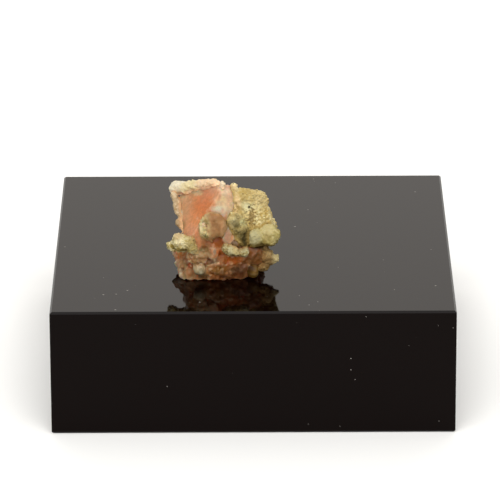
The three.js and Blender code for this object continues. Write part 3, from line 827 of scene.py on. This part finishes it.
GRAINED = {
    "feldspar_blocks": {
        "name": "cleaved_feldspar",
        "voxel": 0.07,
        "relief": (0.14, 1.0),
        "grains": (0.1, 0.4),
        "pulls": [((7.8, -5.2, 6.6), 1.4, (0.3, 0, 0))],
        "shades": [(152, 138, 82), (182, 168, 116), (134, 114, 56), (92, 68, 34)],
        "patch": 1.0,
        "edge": 0.4,
        "contact": OCHRE,
        "stains": [
            spot((4.2, -5.8, 6.7), 1.1, (166, 158, 120), 0.8),
            spot((6.2, -5.0, 7.9), 1.1, (192, 178, 130), 0.7, ragged=0.8),
            # painted shade along the bottom of the blocks
            spot((5.8, -5.6, 5.4), 0.7, (110, 90, 42), 0.8, stretch=(2, 2, 0.7)),
            spot((6.2, -5.4, 6.7), 0.7, (146, 126, 72), 0.6, ragged=0.7),
        ],
    },
    "feldspar_matrix": {
        "name": "sugary_matrix",
        "voxel": 0.08,
        "relief": (0.2, 1.1),
        "grains": (0.24, 0.36),
        "pulls": [((0.9, -2.5, 13.7), 1.9, (-0.15, 0, 0.22)), ((7.0, -1.0, 9.8), 3.6, (-0.4, 0, 0))],
        "shades": [KHAKI, CREAM, OCHRE, UMBER],
        "tint": (196, 168, 98),
        "patch": 1.1,
        "specks": (70, 62, 34),
        "contact": OCHRE,
        "stains": [
            spot((2.4, -3.6, 12.6), 1.3, (166, 142, 84), 0.8, fade=0.8),
            spot((0.9, -2.5, 14.0), 1.1, (226, 206, 160), 0.9),
            spot((5.1, -3.3, 12.0), 1.4, (200, 184, 138), 0.5, fade=0.8),
            spot((1.6, -4.0, 11.5), 0.9, (226, 198, 150), 0.8, stretch=(0.8, 2, 1.5)),
            spot((4.4, -3.9, 10.9), 0.7, (220, 204, 150), 0.7, fade=0.8),
            spot((2.6, -4.3, 10.0), 1.1, (216, 196, 138), 0.8, ragged=0.7),
            spot((3.6, -4.2, 9.8), 0.8, (214, 190, 130), 0.7, ragged=0.7),
            spot((1.1, -5.3, 9.3), 0.9, (204, 190, 142), 0.8, fade=0.7, ragged=0.8),
            spot((3.1, -4.0, 11.2), 0.8, (206, 200, 158), 0.8, fade=0.8, ragged=1.0),
            spot((1.9, -5.3, 7.5), 2.0, CHLORITE, 0.8, fade=0.6, ragged=1.3, size=0.4,
                 stretch=(0.8, 1.5, 1.3)),
            spot((2.6, -5.2, 8.9), 0.6, (182, 176, 126), 0.8, ragged=1.2, size=0.3),
            spot((3.9, -4.2, 9.5), 0.6, (118, 94, 52), 0.75, fade=0.2, ragged=2.6, size=0.16,
                 stretch=(0.8, 2, 2.2)),
            spot((2.9, -5.2, 6.4), 1.2, CHLORITE_DARK, ragged=0.9, size=0.35, stretch=(0.7, 1.5, 1.3)),
            spot((2.5, -5.7, 8.1), 0.6, (160, 142, 92), 0.7, ragged=0.9, size=0.3),
            spot((0.7, -5.4, 8.6), 0.5, (182, 166, 118), 0.7, ragged=0.9, size=0.3),
            spot((3.45, -4.2, 11.05), 0.2, (58, 44, 24), fade=0.5, ragged=0.3),
        ],
    },
    "albite_knob": {
        "name": "left_albite_knob",
        "voxel": 0.06,
        "relief": (0.28, 0.8),
        "grains": (0.16, 0.32),
        "filled": 0.2,
        "pulls": [
            ((-4.6, -6.3, 5.7), 1.6, (0.1, -0.1, -0.85)),
            ((-7.1, -6.0, 4.8), 1.5, (0, 0, -0.5)),
            ((-4.9, -6.0, 6.9), 1.1, (0.3, 0, 0.4)),
            ((-7.2, -5.8, 7.0), 1.1, (-0.3, 0, 0.35)),
        ],
        "shades": [(180, 162, 106), (216, 206, 166), (154, 132, 72), (110, 88, 40)],
        "contact": (150, 112, 58),
        "stains": [
            spot((-4.8, -6.3, 5.9), 1.4, (150, 130, 78), 0.8, fade=0.6),
            spot((-7.0, -6.0, 6.7), 0.8, (212, 200, 160), 0.8, ragged=0.8),
            spot((-7.2, -5.7, 7.2), 0.8, (176, 152, 110), 0.8, ragged=0.8),
            spot((-4.9, -6.2, 7.0), 0.6, (176, 146, 94), 0.7, ragged=0.8),
            spot((-7.9, -5.5, 5.4), 0.4, (136, 116, 54), ragged=0.8),
            # painted shadow along the bottom of the knob
            spot((-6.2, -6.2, 5.2), 0.6, (132, 110, 56), stretch=(2, 1.5, 0.6)),
        ],
    },
    "albite_nub": {
        "name": "right_albite_nub",
        "voxel": 0.06,
        "relief": (0.28, 0.75),
        "grains": (0.16, 0.35),
        "filled": 0.25,
        "pulls": [((6.6, -4.5, 3.0), 1.4, (0.1, 0, -0.5)), ((7.9, -4.0, 3.4), 1.2, (-0.25, 0, -0.3))],
        "shades": [(122, 96, 54), (156, 130, 84), (94, 68, 32), (60, 36, 16)],
        "contact": BROWN,
        "stains": [
            spot((7.6, -4.2, 2.9), 1.0, (186, 170, 122), 0.9),
            spot((6.1, -4.9, 3.6), 1.0, (168, 138, 92), 0.5),
            spot((6.1, -5.2, 2.7), 0.9, (104, 76, 40), 0.6, ragged=0.8),
        ],
    },
    "albite_ledge": {
        "name": "front_albite_ledge",
        "voxel": 0.05,
        "relief": (0.3, 0.7),
        "grains": (0.12, 0.28),
        "filled": 0.15,
        "pulls": [((0.3, -6.2, 5.4), 0.9, (-0.1, 0, 0.3)), ((2.2, -6.3, 4.8), 1.3, (0.1, 0, -0.4))],
        "shades": [(142, 128, 82), (182, 172, 132), (114, 94, 50), (88, 70, 34)],
        "edge": 0.8,
        "contact": (146, 104, 56),
        "stains": [
            spot((1.5, -6.2, 5.0), 0.7, (186, 168, 118), 0.7, ragged=0.7),
            spot((2.4, -6.0, 5.3), 0.5, (122, 104, 62), 0.7, ragged=0.8),
        ],
    },
    "albite_crust": {
        "name": "top_albite_crust",
        "voxel": 0.07,
        "relief": (0.26, 0.9),
        "grains": (0.2, 0.5),
        "filled": 0.4,
        "pulls": [((-1.6, -2.1, 14.8), 1.3, (0, 0, -0.22))],
        "shades": [(214, 196, 158), (230, 220, 196), (200, 174, 128), (192, 158, 114)],
        "contact": (246, 204, 166),
        "contact_share": 0.8,
        "stains": [
            spot((-7.3, 2.4, 11.9), 1.5, (210, 200, 174), 0.9),
            spot((-5.2, 0.8, 12.5), 1.5, (208, 192, 146), 0.9, ragged=0.8),
            spot((-2.6, -1.4, 13.9), 1.9, (220, 188, 152), 0.8),
            spot((-0.6, -2.9, 14.4), 0.8, (216, 196, 164), 0.8),
        ],
    },
    "albite_plates": {
        "name": "edge_albite_plates",
        "voxel": 0.06,
        "relief": (0.14, 0.8),
        "grains": (0.08, 0.3),
        "filled": 0.3,
        "pulls": [((-6.4, -3.5, 7.5), 1.2, (0.1, -0.1, -0.6))],
        "shades": [(176, 154, 120), (204, 184, 150), (152, 126, 88), (120, 96, 62)],
        "contact": (220, 172, 126),
        "contact_share": 0.7,
        "stains": [
            spot((-6.8, -2.8, 7.9), 1.5, (152, 124, 88), 0.8, fade=0.7, ragged=0.6),
        ],
    },
}


# ---------------------------------------------------------------- pieces


def add_nodes(piece, build, values):
    """Adds a Geometry Nodes modifier. Its inputs are given by name, and set by their identifiers."""
    modifier = piece.modifiers.new(build.__name__, "NODES")
    modifier.node_group = build()
    sockets = modifier.node_group.interface.items_tree
    identifiers = {item.name: item.identifier for item in sockets if item.item_type == "SOCKET"}
    for name, value in values.items():
        modifier[identifiers[name]] = value


def solid_copy(node, name):
    """A copy of a CAD node's mesh, with its loose triangles joined, as a new object at the origin."""
    mesh = frame["nodes"][node].data.copy()
    mesh.name = name
    form = bmesh.new()
    form.from_mesh(mesh)
    bmesh.ops.remove_doubles(form, verts=form.verts, dist=MERGE_DISTANCE)
    form.to_mesh(mesh)
    form.free()
    mesh.materials.clear()
    piece = bpy.data.objects.new(name, mesh)
    bpy.context.scene.collection.objects.link(piece)
    return piece


def plain_mesh(piece):
    """Turns a piece and its modifiers into a plain mesh."""
    depsgraph = bpy.context.evaluated_depsgraph_get()
    made = bpy.data.meshes.new_from_object(piece.evaluated_get(depsgraph), depsgraph=depsgraph)
    made.name = piece.name
    piece.modifiers.clear()
    piece.data = made
    for polygon in made.polygons:
        polygon.use_smooth = True


def grown_collection():
    """The minerals that are finished, which later ones close their seams to."""
    return bpy.data.collections.get(GROWN) or bpy.data.collections.new(GROWN)


def slot_of(node):
    """The record's material slot of a node."""
    return next(row["material_slot"] for row in frame["record"]["subparts"] if row["node"] == node)


def fuse(piece, voxel):
    """Makes one closed surface of a piece, with voxels of this size in metres."""
    remesh = piece.modifiers.new("fused", "REMESH")
    remesh.mode = "VOXEL"
    remesh.voxel_size = voxel


def grow(node, name, material, voxel, relief, broken, smoothing=1, filled=0, swollen=0, seam=SEAM, pulls=()):
    """Dresses one mineral: its seams, its relief, one fused surface, its skin, and its place on the body.

    Slits narrower than twice the filled distance are closed, and it grows by the swollen distance. Each
    pull draws out a part of it: a centre, a radius and an offset, in mm in the specimen's frame. Every
    other length is in metres.
    """
    piece = solid_copy(node, name)
    neighbours = {"Neighbours": grown_collection(), "Material": material}
    if pulls:
        fuse(piece, COARSE_VOXEL)
    for centre, radius, offset in pulls:
        pull = {"Centre": place(*centre), "Radius": radius * MM, "Offset": Vector(offset) * MM}
        add_nodes(piece, pull_tree, {**pull, "Material": material})
    if filled or swollen:
        fuse(piece, COARSE_VOXEL)
        add_nodes(piece, swell_tree, {"By": filled + swollen, "Material": material})
        fuse(piece, COARSE_VOXEL)
        add_nodes(piece, swell_tree, {"By": -filled, "Material": material})
    if grown_collection().objects:
        fuse(piece, max(voxel, COARSE_VOXEL))
        add_nodes(piece, seam_tree, {"Seam": seam, **neighbours})
    fuse(piece, voxel)
    add_nodes(piece, relief_tree, {**relief, **broken, "Material": material})
    fuse(piece, voxel)
    add_nodes(piece, skin_tree, {"Smoothing": smoothing, **broken, **neighbours})
    plain_mesh(piece)
    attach(piece, BODY)
    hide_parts(node)
    slot_of(node)
    grown_collection().objects.link(piece)


def dress(node, form, material, relief, broken, **ways):
    """Grows a mineral as its table says."""
    height, size = form["relief"]
    relief = {"Relief": height * MM, "Relief Size": size * MM, **relief}
    for key in ("filled", "swollen"):
        ways[key] = form.get(key, 0.0) * MM
    ways["pulls"] = form.get("pulls", ())
    grow(node, form["name"], material, form["voxel"] * MM, relief, broken, **ways)


# ---------------------------------------------------------------- settings


class SpecimenSettings(bpy.types.PropertyGroup):
    """The sizes and colours that a user would change."""

    block_color: FloatVectorProperty(
        name="Acrylic",
        description="Colour of the display block",
        subtype="COLOR",
        size=3,
        default=srgb(8, 2, 1),
        min=0,
        max=1,
    )
    block_ior: FloatProperty(
        name="Acrylic IOR",
        description="How strongly the polished block mirrors its surroundings",
        default=1.163,
        min=1,
        max=2,
    )
    block_dust: FloatProperty(
        name="Dust",
        description="How plainly specks of dust show on the block",
        subtype="FACTOR",
        default=0.5,
        min=0,
        max=1,
    )
    crystal_voxel: FloatProperty(
        name="Crystal Detail",
        description="Size of the voxels that fuse the crystals into one surface",
        subtype="DISTANCE",
        unit="LENGTH",
        default=0.12 * MM,
        min=0.05 * MM,
        precision=6,
    )
    crystal_shards: FloatProperty(
        name="Shards",
        description="How uneven the crystals are where they broke near the foot",
        subtype="DISTANCE",
        unit="LENGTH",
        default=0.34 * MM,
        min=0,
        precision=6,
    )
    crystal_chips: FloatProperty(
        name="Edge Chips",
        description="How deep the crystals' edges are chipped",
        subtype="DISTANCE",
        unit="LENGTH",
        default=0.07 * MM,
        min=0,
        precision=6,
    )
    floor_color: FloatVectorProperty(
        name="Floor",
        description="Colour of the floor the block stands on",
        subtype="COLOR",
        size=3,
        default=srgb(250, 249, 246),
        min=0,
        max=1,
    )
    surround: FloatProperty(
        name="Surround",
        description="Brightness of the white surroundings",
        default=0.38,
        min=0,
    )
    key_light: FloatProperty(
        name="Softbox",
        description="Light on the specimen from the softbox above and in front of it",
        default=0.97,
        min=0,
    )
    overhead: FloatProperty(
        name="Overhead Light",
        description="Brightness of the softbox above and behind the specimen",
        default=0.5,
        min=0,
    )
    backdrop: FloatProperty(
        name="Backdrop",
        description="Brightness of the lit backdrop, which the polished block mirrors",
        default=1.18,
        min=0,
    )
    camera_lens: FloatProperty(
        name="Lens",
        description="Focal length of the camera",
        subtype="DISTANCE_CAMERA",
        default=331.6,
        min=1,
    )
    camera_distance: FloatProperty(
        name="Camera Distance",
        description="From the middle of the block's top face to the camera",
        subtype="DISTANCE",
        unit="LENGTH",
        default=705.9 * MM,
        min=0.1,
        precision=4,
    )
    camera_pitch: FloatProperty(
        name="Camera Pitch",
        description="How far the camera looks down",
        subtype="ANGLE",
        default=math.radians(20.49),
    )


# ---------------------------------------------------------------- operators


class SPECIMEN_OT_display_block(bpy.types.Operator):
    """Polishes the display block"""

    bl_idname = "specimen.display_block"
    bl_label = "Display Block"

    def execute(self, context):
        block = frame["nodes"]["display_block"]
        block.data.materials.clear()
        block.data.materials.append(acrylic_material())
        return {"FINISHED"}


class SPECIMEN_OT_crystals(bpy.types.Operator):
    """Dresses the fluorite crystals"""

    bl_idname = "specimen.crystals"
    bl_label = "Fluorite Crystals"

    def execute(self, context):
        settings = context.scene.specimen
        relief = {
            "Relief": 0.03 * MM,
            "Fine Relief": 0.006 * MM,
            "Fine Size": 0.25 * MM,
            "Chipping": settings.crystal_chips,
            "Facets": settings.crystal_shards,
        }
        broken = {
            "Facet Size": 0.65 * MM,
            "Break": place(0, 0, 4.6),
            "Break Direction": (0, 0, -1),
            "Shift": 0.1,
        }
        material = crystal_material()
        voxel = settings.crystal_voxel
        fill = {"smoothing": 2, "filled": 0.25 * MM}
        grow("fluorite_crystals", "pink_crystals", material, voxel, relief, broken, **fill)
        return {"FINISHED"}


class SPECIMEN_OT_quartz(bpy.types.Operator):
    """Dresses the grains and beads of quartz"""

    bl_idname = "specimen.quartz"
    bl_label = "Quartz Grains"

    def execute(self, context):
        for number, (node, form) in enumerate(QUARTZ.items()):
            broken = {
                "Facet Size": 0.4 * MM,
                "Break": place(*form.get("break", (-20, 0, 0))),
                "Break Direction": (-1, 0, 0),
                "Shift": 0.2 + number * 0.01,
            }
            material = quartz_material(
                form,
                Transmission_Weight=form.get("clear", 0.5),
                Specular_IOR_Level=form.get("shine", 0.2),
                Subsurface_Weight=0.8,
                Subsurface_Radius=(1.0, 0.6, 0.4),
                Subsurface_Scale=0.5 * MM,
            )
            dress(node, form, material, {"Facets": 0.18 * MM}, broken, smoothing=2, seam=1.5 * SEAM)
        return {"FINISHED"}


class SPECIMEN_OT_granular(bpy.types.Operator):
    """Dresses the feldspar and the albite"""

    bl_idname = "specimen.granular"
    bl_label = "Feldspar and Albite"

    def execute(self, context):
        for number, (node, form) in enumerate(GRAINED.items()):
            grain_height, grain_size = form["grains"]
            relief = {"Fine Relief": 0.07 * MM, "Facets": grain_height * MM}
            broken = {"Facet Size": grain_size * MM, "Shift": 0.3 + number * 0.01}
            material = granular_material(
                form,
                Specular_IOR_Level=0.1,
                Subsurface_Weight=0.35,
                Subsurface_Radius=(1.0, 0.8, 0.5),
                Subsurface_Scale=0.25 * MM,
            )
            dress(node, form, material, relief, broken)
        return {"FINISHED"}


LIT_POINT = Vector((0, 0, 20 * MM))  # what every softbox faces
SOFTBOX_AT = Vector((0, -1.0, 1.35))
SOFTBOX_SIDE = 1.7
OVERHEAD_AT = Vector((0, 0.7, 1.6))
OVERHEAD_SIZE = (1.8, 1.2)
BACKDROP_AT = Vector((0, 1.6, 0.75))
BACKDROP_SIZE = (2.4, 1.1)
WARM_WHITE = (1.0, 0.94, 0.87)
ROOM_WHITE = (1.0, 0.995, 0.985)
FLOOR_SHADE = srgb(225, 222, 216)
FLOOR_SIDE = 8.0
CAMERA_ROLL = math.radians(-0.22)
# How far the camera stands right of and above the line to the middle of the block's top face.
CAMERA_ASIDE = (-0.42 * MM, -1.38 * MM)


def area_light(name, where, size, radiance):
    """A softbox that faces the specimen. Its radiance is that of a white surface in full light at 1."""
    light = bpy.data.lights.new(name, "AREA")
    light.shape = "RECTANGLE"
    light.size, light.size_y = size
    light.energy = radiance * math.pi * size[0] * size[1]
    holder = bpy.data.objects.new(name, light)
    holder.location = where
    holder.rotation_euler = (LIT_POINT - where).to_track_quat("-Z", "Y").to_euler()
    bpy.context.scene.collection.objects.link(holder)
    return light


class SPECIMEN_OT_stage(bpy.types.Operator):
    """Sets up the floor, the light and the camera"""

    bl_idname = "specimen.stage"
    bl_label = "Stage"

    def execute(self, context):
        settings = context.scene.specimen
        scene = context.scene
        scene.view_settings.view_transform = "Standard"
        self.lay_floor(settings)
        self.light(scene, settings)
        self.aim_camera(scene, settings)
        return {"FINISHED"}

    @staticmethod
    def lay_floor(settings):
        half = FLOOR_SIDE / 2
        corners = [(-half, -half, 0), (half, -half, 0), (half, half, 0), (-half, half, 0)]
        mesh = bpy.data.meshes.new("floor")
        mesh.from_pydata(corners, [], [(0, 1, 2, 3)])
        floor = bpy.data.objects.new("floor", mesh)
        bpy.context.scene.collection.objects.link(floor)
        material, tree, shader, where = new_material("pale_floor", Roughness=0.7)
        shade = ramp(noise(where, 30 * MM), 0.3, 0.7, 0.0, 0.02)
        color = blend(shade, tuple(settings.floor_color), FLOOR_SHADE)
        connect(tree, shader.inputs["Base Color"], color)
        mesh.materials.append(material)

    @staticmethod
    def light(scene, settings):
        world = bpy.data.worlds.new("white_surround")
        world.use_nodes = True
        surround = world.node_tree.nodes["Background"].inputs
        surround["Color"].default_value = (*ROOM_WHITE, 1)
        surround["Strength"].default_value = settings.surround
        scene.world = world
        # The softbox's radiance follows from how much light it should throw on a level surface.
        across = SOFTBOX_SIDE * SOFTBOX_SIDE * SOFTBOX_AT.normalized().z
        radiance = settings.key_light * math.pi * SOFTBOX_AT.length_squared / across
        area_light("softbox", SOFTBOX_AT, (SOFTBOX_SIDE, SOFTBOX_SIDE), radiance)
        area_light("overhead", OVERHEAD_AT, OVERHEAD_SIZE, settings.overhead)
        backdrop = area_light("backdrop", BACKDROP_AT, BACKDROP_SIZE, settings.backdrop)
        backdrop.color = WARM_WHITE

    @staticmethod
    def aim_camera(scene, settings):
        """Looks at the middle of the block's top face, a little off centre and with a slight roll."""
        pitch = settings.camera_pitch
        right = Vector((1, 0, 0))
        forward = Vector((0, math.cos(pitch), -math.sin(pitch)))
        up = right.cross(forward)
        level, steep = math.cos(CAMERA_ROLL), math.sin(CAMERA_ROLL)
        tilted_right = right * level + up * steep
        tilted_up = up * level - right * steep
        aside = tilted_right * CAMERA_ASIDE[0] + tilted_up * CAMERA_ASIDE[1]
        matrix = Matrix((tilted_right, tilted_up, -forward)).transposed().to_4x4()
        matrix.translation = Vector((0, 0, BLOCK_TOP)) - forward * settings.camera_distance + aside
        camera = bpy.data.cameras.new("camera")
        camera.sensor_width = 36
        camera.lens = settings.camera_lens
        camera.clip_start = 0.05
        camera.clip_end = 20
        holder = bpy.data.objects.new("camera", camera)
        holder.matrix_world = matrix
        scene.collection.objects.link(holder)
        scene.camera = holder


class SPECIMEN_PT_panel(bpy.types.Panel):
    """The steps and the settings of the specimen"""

    bl_idname = "SPECIMEN_PT_panel"
    bl_label = "Fluorite Specimen"
    bl_space_type = "VIEW_3D"
    bl_region_type = "UI"
    bl_category = "Specimen"

    def draw(self, context):
        for step in STEPS:
            self.layout.operator(step.bl_idname)
        for name in SpecimenSettings.__annotations__:
            self.layout.prop(context.scene.specimen, name)


STEPS = (
    SPECIMEN_OT_stage,
    SPECIMEN_OT_display_block,
    SPECIMEN_OT_crystals,
    SPECIMEN_OT_quartz,
    SPECIMEN_OT_granular,
)
CLASSES = (SpecimenSettings, *STEPS, SPECIMEN_PT_panel)


def register():
    for each in CLASSES:
        bpy.utils.register_class(each)
    bpy.types.Scene.specimen = PointerProperty(type=SpecimenSettings)


def unregister():
    del bpy.types.Scene.specimen
    for each in reversed(CLASSES):
        bpy.utils.unregister_class(each)


def main():
    register()
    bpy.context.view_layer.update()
    bpy.ops.specimen.stage()
    bpy.ops.specimen.display_block()
    bpy.ops.specimen.crystals()
    bpy.ops.specimen.quartz()
    bpy.ops.specimen.granular()


if __name__ == "__main__":
    main()
